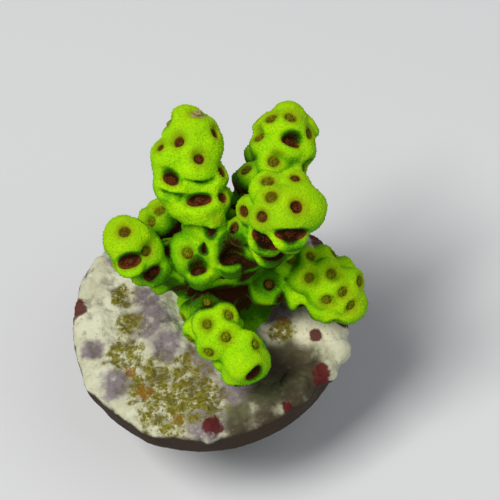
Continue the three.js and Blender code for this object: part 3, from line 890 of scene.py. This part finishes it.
def finish_tree(tree, given, out, instances, parts=()):
    """Makes the instances real and smooth, joins other parts to them and sets the material."""
    real = node(tree, "GeometryNodeRealizeInstances", {"Geometry": instances.outputs["Instances"]})
    smooth = node(tree, "GeometryNodeSetShadeSmooth", {"Geometry": real.outputs["Geometry"]})
    whole = joined(tree, [smooth.outputs["Geometry"], *parts])
    finish = node(tree, "GeometryNodeSetMaterial", {"Geometry": whole, "Material": given["Material"]})
    tree.links.new(finish.outputs["Geometry"], out.inputs["Geometry"])
    return tree


def grown(obj, tree, values):
    """Runs the tree on an object and puts the result in the object's mesh."""
    modifier = obj.modifiers.new(tree.name, "NODES")
    modifier.node_group = tree
    for socket in tree.interface.items_tree:
        if socket.in_out == "INPUT" and socket.name in values:
            modifier[socket.identifier] = values[socket.name]
    evaluated = obj.evaluated_get(bpy.context.evaluated_depsgraph_get())
    mesh = bpy.data.meshes.new_from_object(evaluated)
    obj.modifiers.clear()
    obj.data = mesh


def granule_tree():
    """Scatters small blunt granules over a skin, fewer in the clefts and none in the pits."""
    tree, given, out = new_tree("skin_granules", Spacing="Float", Size="Float", Height="Float",
                                Seed="Int", Material="Material")
    keep = maths(tree, "SUBTRACT", 1.0, attribute_socket(tree, "bare"))
    scatter = node(tree, "GeometryNodeDistributePointsOnFaces", {
        "Mesh": given["Geometry"], "Distance Min": given["Spacing"], "Density Max": 1.2e7,
        "Density Factor": keep, "Seed": given["Seed"]}, distribute_method="POISSON")
    ball = node(tree, "GeometryNodeMeshIcoSphere", {"Radius": 1.0, "Subdivisions": 1})
    lopsided = node(tree, "FunctionNodeRandomValue", {
        "Min": (0.7, 0.7, 0.6), "Max": (1.2, 1.2, 1.2), "Seed": given["Seed"]}, data_type="FLOAT_VECTOR")
    shape = node(tree, "ShaderNodeCombineXYZ", {"X": given["Size"], "Y": given["Size"], "Z": given["Height"]})
    scale = node(tree, "ShaderNodeVectorMath", {0: shape.outputs[0], 1: lopsided.outputs["Value"]},
                 operation="MULTIPLY")
    placed = node(tree, "GeometryNodeInstanceOnPoints", {
        "Points": scatter.outputs["Points"], "Instance": ball.outputs["Mesh"],
        "Rotation": scatter.outputs["Rotation"], "Scale": scale.outputs["Vector"]})
    return finish_tree(tree, given, out, placed, [given["Geometry"]])


def polyp_tree():
    """Sets a drawn-in polyp in each pit: six radial walls, six blunt tentacles and a mouth. Its
    sizes are shares of the pit's half width."""
    tree, given, out = new_tree("drawn_in_polyps", Arms="Int", Material="Material")
    place = node(tree, "GeometryNodeInputPosition").outputs["Position"]
    outward = node(tree, "FunctionNodeAlignRotationToVector", {"Vector": place}, axis="X").outputs["Rotation"]

    def ring(radius, rise, part, scale):
        circle = node(tree, "GeometryNodeMeshCircle", {"Vertices": given["Arms"], "Radius": radius})
        on = node(tree, "GeometryNodeInstanceOnPoints", {
            "Points": circle.outputs["Mesh"], "Instance": part, "Rotation": outward, "Scale": scale})
        lifted = node(tree, "GeometryNodeTransform", {
            "Geometry": on.outputs["Instances"], "Translation": (0, 0, rise)})
        return lifted.outputs["Geometry"]

    wall = node(tree, "GeometryNodeMeshCube", {"Size": (0.34, 0.09, 0.9)}).outputs["Mesh"]
    bead = node(tree, "GeometryNodeMeshUVSphere", {"Segments": 8, "Rings": 6, "Radius": 1.0}).outputs["Mesh"]
    walls = ring(0.88, -1.4, wall, (1, 1, 1))
    arms = ring(0.5, -1.05, bead, (0.24, 0.19, 0.28))
    mouth = node(tree, "GeometryNodeTransform", {
        "Geometry": bead, "Translation": (0, 0, -1.5), "Scale": (1.1, 1.1, 0.5)}).outputs["Geometry"]
    opens = attribute_socket(tree, "opens", "FLOAT_VECTOR")
    up = node(tree, "FunctionNodeAlignRotationToVector", {"Vector": opens}, axis="Z")
    placed = node(tree, "GeometryNodeInstanceOnPoints", {
        "Points": given["Geometry"], "Instance": joined(tree, [walls, arms, mouth]),
        "Rotation": up.outputs["Rotation"], "Scale": attribute_socket(tree, "size")})
    return finish_tree(tree, given, out, placed)


# Pieces


def make_coral():
    seats = all_seats()
    clay = model_coral(seats)
    edges = region_edges(clay)
    coarse_step = clay.step * COARSE
    solid = (clay.values[::COARSE, ::COARSE, ::COARSE] < 0).astype(float)
    disc_layers = max(int(-clay.low[2] / coarse_step), 1)
    solid[:, :, :disc_layers] = 1
    average = blurred(clay.values, round(0.3 / clay.step))
    granules = granule_tree()
    for name, limb in LIMBS.items():
        material = coral_material(name + "_skin")
        edge = finer(edges[name])
        own = np.maximum(clay.values + 0.7 * np.maximum(edge, 0), edge - OVERLAP)
        own[:, :, 0] = FAR
        points, faces = surface_of(own, clay.low, clay.step)
        up = slope_at(clay, points)
        points = points + up * (SKIN_RELIEF * roughness_at(points, 1.1, 3))[:, None]
        points[:, 2] = np.maximum(points[:, 2], 0.0)
        deep, near, pale, painted_shade = pit_masks(points, seats)
        # Painted shade: the computed sky light, cut further at slits and at the listed spots, which the
        # skin's colour follows.
        light = light_on(solid, clay.low, coarse_step, points, up) * (1 - painted_shade)
        hollow = -read_at(average, clay.low, clay.step, points)
        tip = np.zeros(len(points))
        if name != "trunk":
            end = bezier(limb, 1) + 1.5 * directions(limb, 1)[0]
            tip = 1 - smooth_step(0.8, 4.2, norm(points - end, axis=1))
        past_edge = np.maximum(read_at(edge, clay.low, clay.step, points), 0)
        hidden = 3 * past_edge + (points[:, 2] < 0.02)
        bare = np.clip(4 * deep + hidden + smooth_step(0.45, 0.2, light), 0, 1)
        obj = mesh_object(name + "_skin", points, faces, material)
        add_masks(obj, pit=deep, mouth=near, light=light, tip=tip, pale=pale, bare=bare,
                  crease=smooth_step(0.02, 0.1, hollow) * (1 - near))
        spacing = TRUNK_GRANULE_SPACING if name == "trunk" else GRANULE_SPACING
        grown(obj, granules, {"Spacing": spacing * MM, "Size": GRANULE_RADIUS * MM,
                              "Height": GRANULE_HEIGHT * MM, "Seed": SEED, "Material": material})
        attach(obj, "root")
        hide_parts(name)
    make_polyps(seats, solid, clay.low, coarse_step)
    solid[:, :, :disc_layers] = 0
    return solid, clay.low, coarse_step


def make_polyps(seats, solid, low, step):
    mouths = np.array([s["mouth"] + s["opens"] * 0.25 * s["pale"] for s in seats])
    opens = np.array([s["opens"] for s in seats])
    material = polyp_material()
    obj = mesh_object("polyps", mouths, np.empty((0, 4), int), material)
    vectors = obj.data.attributes.new("opens", "FLOAT_VECTOR", "POINT")
    vectors.data.foreach_set("vector", opens.astype(np.float32).ravel())
    slits = np.array([s["slit"] for s in seats])
    # The polyps' light, cut in slits, gives their flesh painted shade.
    add_masks(obj, size=[s["pit"] * s["narrow"] * MM for s in seats], pale=[s["pale"] for s in seats],
              light=light_on(solid, low, step, mouths, opens) * (1 - 0.6 * slits))
    grown(obj, polyp_tree(), {"Arms": 6, "Material": material})
    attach(obj, "root")


def rounded_drum(out, height, radius, bottom, top, rounding=EDGE_ROUNDING):
    side = out - radius + rounding
    end = np.abs(height - (bottom + top) / 2) - (top - bottom) / 2 + rounding
    corner = np.sqrt(np.maximum(side, 0) ** 2 + np.maximum(end, 0) ** 2)
    return corner + np.minimum(np.maximum(side, end), 0) - rounding


def plug_body(x, y, z):
    """The disc on its stem, which narrows a little towards its foot."""
    out = np.sqrt(x * x + y * y)
    share = np.clip((z + DISC_TOP) / (DISC_TOP - DISC_THICKNESS), 0, 1)
    stem_radius = STEM_RADII[0] + (STEM_RADII[1] - STEM_RADII[0]) * share
    stem = rounded_drum(out, z, stem_radius, -DISC_TOP, -DISC_THICKNESS + 0.5)
    disc = rounded_drum(out, z, DISC_RADIUS, -DISC_THICKNESS, 0.0, TOP_ROUNDING)
    return np.minimum(stem, disc).astype(np.float32)


def roughness_at(points, size, seed):
    """Fractal noise with knobs of this size in millimetres, for each point."""
    shift = Vector((seed * 17.3, seed * 5.1, 0))
    return np.array([fractal(Vector(p) / size + shift, 0.8, 2.0, 4) for p in points])


def make_plug(coral_solid, coral_low, coral_step):
    rng = np.random.default_rng(SEED)
    step = PLUG_COARSENESS * CLAY_STEP
    reach = DISC_RADIUS + 1.4
    clay = Clay((-reach, -reach, -DISC_TOP - 0.6), (reach, reach, 3.2), step)
    clay.add(clay.low, (reach, reach, 2 * FAR), plug_body, 0.2)
    upward = np.array((0, 0, 1.0))
    for x, y, radius, height in CRUST_LUMPS:
        half = min(radius, (height + DISC_THICKNESS - 0.2) / 2)
        centre = np.array((x, y, height - half))
        clay.add(*around(centre, radius + 1.5), button(centre, upward, radius, half, 2.2), LUMP_BLEND)
    for _ in range(SMALL_LUMPS):
        turn, out = rng.uniform(0, 2 * math.pi), DISC_RADIUS * math.sqrt(rng.uniform(0.08, 0.93))
        radius = rng.uniform(*SMALL_LUMP_SIZES)
        x, y = out * math.cos(turn), out * math.sin(turn)
        ground = read_at(clay.values, clay.low, step, np.array([(x, y, 0)]))[0]
        centre = np.array((x, y, -ground - 0.65 * radius))
        clay.add(*around(centre, radius + 1.0), button(centre, upward, radius, radius, 2.0), CUP_BLEND)
    points, faces = surface_of(clay.values, clay.low, step)
    up = slope_at(clay, points)
    top = smooth_step(-0.9, -0.3, points[:, 2])
    grown_over = (0.25 + 0.75 * top) * smooth_step(-DISC_TOP + 0.1, -DISC_TOP + 3.0, points[:, 2])
    relief = 0.16 * roughness_at(points, 1.5, 1) + 0.1 * roughness_at(points, 0.5, 2)
    points = points + up * (relief * grown_over)[:, None]
    height = points[:, 2]
    hollow = -read_at(blurred(clay.values, round(0.4 / step)), clay.low, step, points)
    # How much sky light the coral lets through to the disc's top, painted on it as the coral's shadow.
    light = light_on(coral_solid, coral_low, coral_step, points, upward * np.ones((len(points), 1)))
    obj = mesh_object("crusted_plug", points, faces, crust_material())
    add_masks(obj, stem=smooth_step(-2.8, -3.8, height), light=np.where(height > -0.8, light, 1.0),
              side=smooth_step(-0.1, -1.0, height) * (1 - 0.7 * smooth_step(-4.0, -15.0, height)),
              crease=smooth_step(0.03, 0.12, hollow - relief * 0.3))
    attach(obj, "root")
    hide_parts("frag_plug")


def make_camera():
    """Looks down at the frag from the front, tipped so that the plug's axis leans to the left."""
    elevation, roll = math.radians(57.5), math.radians(-13.5)
    distance, focal_px, image_px, sensor = 200.0, 2163.2, 500.0, 36.0
    shift_right, shift_up = 3.986, 5.936
    back = Vector((0, -math.cos(elevation), math.sin(elevation)))
    level = Vector((1, 0, 0))
    upright = back.cross(level)
    right = level * math.cos(roll) + upright * math.sin(roll)
    up = -level * math.sin(roll) + upright * math.cos(roll)
    eye = Vector((0, 0, DISC_TOP)) + right * shift_right + up * shift_up + back * distance
    data = bpy.data.cameras.new("camera")
    data.sensor_width = sensor
    data.lens = sensor * focal_px / image_px
    data.clip_start, data.clip_end = 0.01, 10.0
    camera = put_in_scene("camera", data)
    camera.matrix_world = Matrix.Translation(eye * MM) @ Matrix((right, up, back)).transposed().to_4x4()
    bpy.context.scene.camera = camera


def make_light(name, place, size, power, colour):
    data = bpy.data.lights.new(name, "AREA")
    data.size = size
    data.energy = power
    data.color = colour
    light = put_in_scene(name, data)
    light.location = place
    aim = Vector((0.002, 0, 0.025)) - Vector(place)
    light.rotation_euler = aim.to_track_quat("-Z", "Y").to_euler()


def make_studio():
    floor_material, tree, shader = new_material("floor", 0.7, 0.2)
    fill(tree, shader, {"Base Color": (0.74, 0.75, 0.76, 1)})
    corners = np.array([(-1, -1, 0), (1, -1, 0), (1, 1, 0), (-1, 1, 0)]) * 1500.0
    corners[:, 2] = -DISC_TOP
    floor = mesh_object("floor", corners, np.array([[0, 1, 2, 3]]), floor_material, smooth=False)
    world = bpy.data.worlds.new("studio")
    world.use_nodes = True
    background = world.node_tree.nodes["Background"]
    fill(world.node_tree, background, {"Color": (0.86, 0.9, 0.95, 1), "Strength": 0.17})
    bpy.context.scene.world = world
    make_light("key", (-0.15, -0.08, 0.45), 0.17, 1.75, (1.0, 0.98, 0.95))
    make_light("fill", (0.16, -0.10, 0.28), 0.2, 0.18, (0.95, 0.97, 1.0))
    bpy.context.scene.view_settings.view_transform = "Standard"


make_camera()
make_studio()
make_plug(*make_coral())
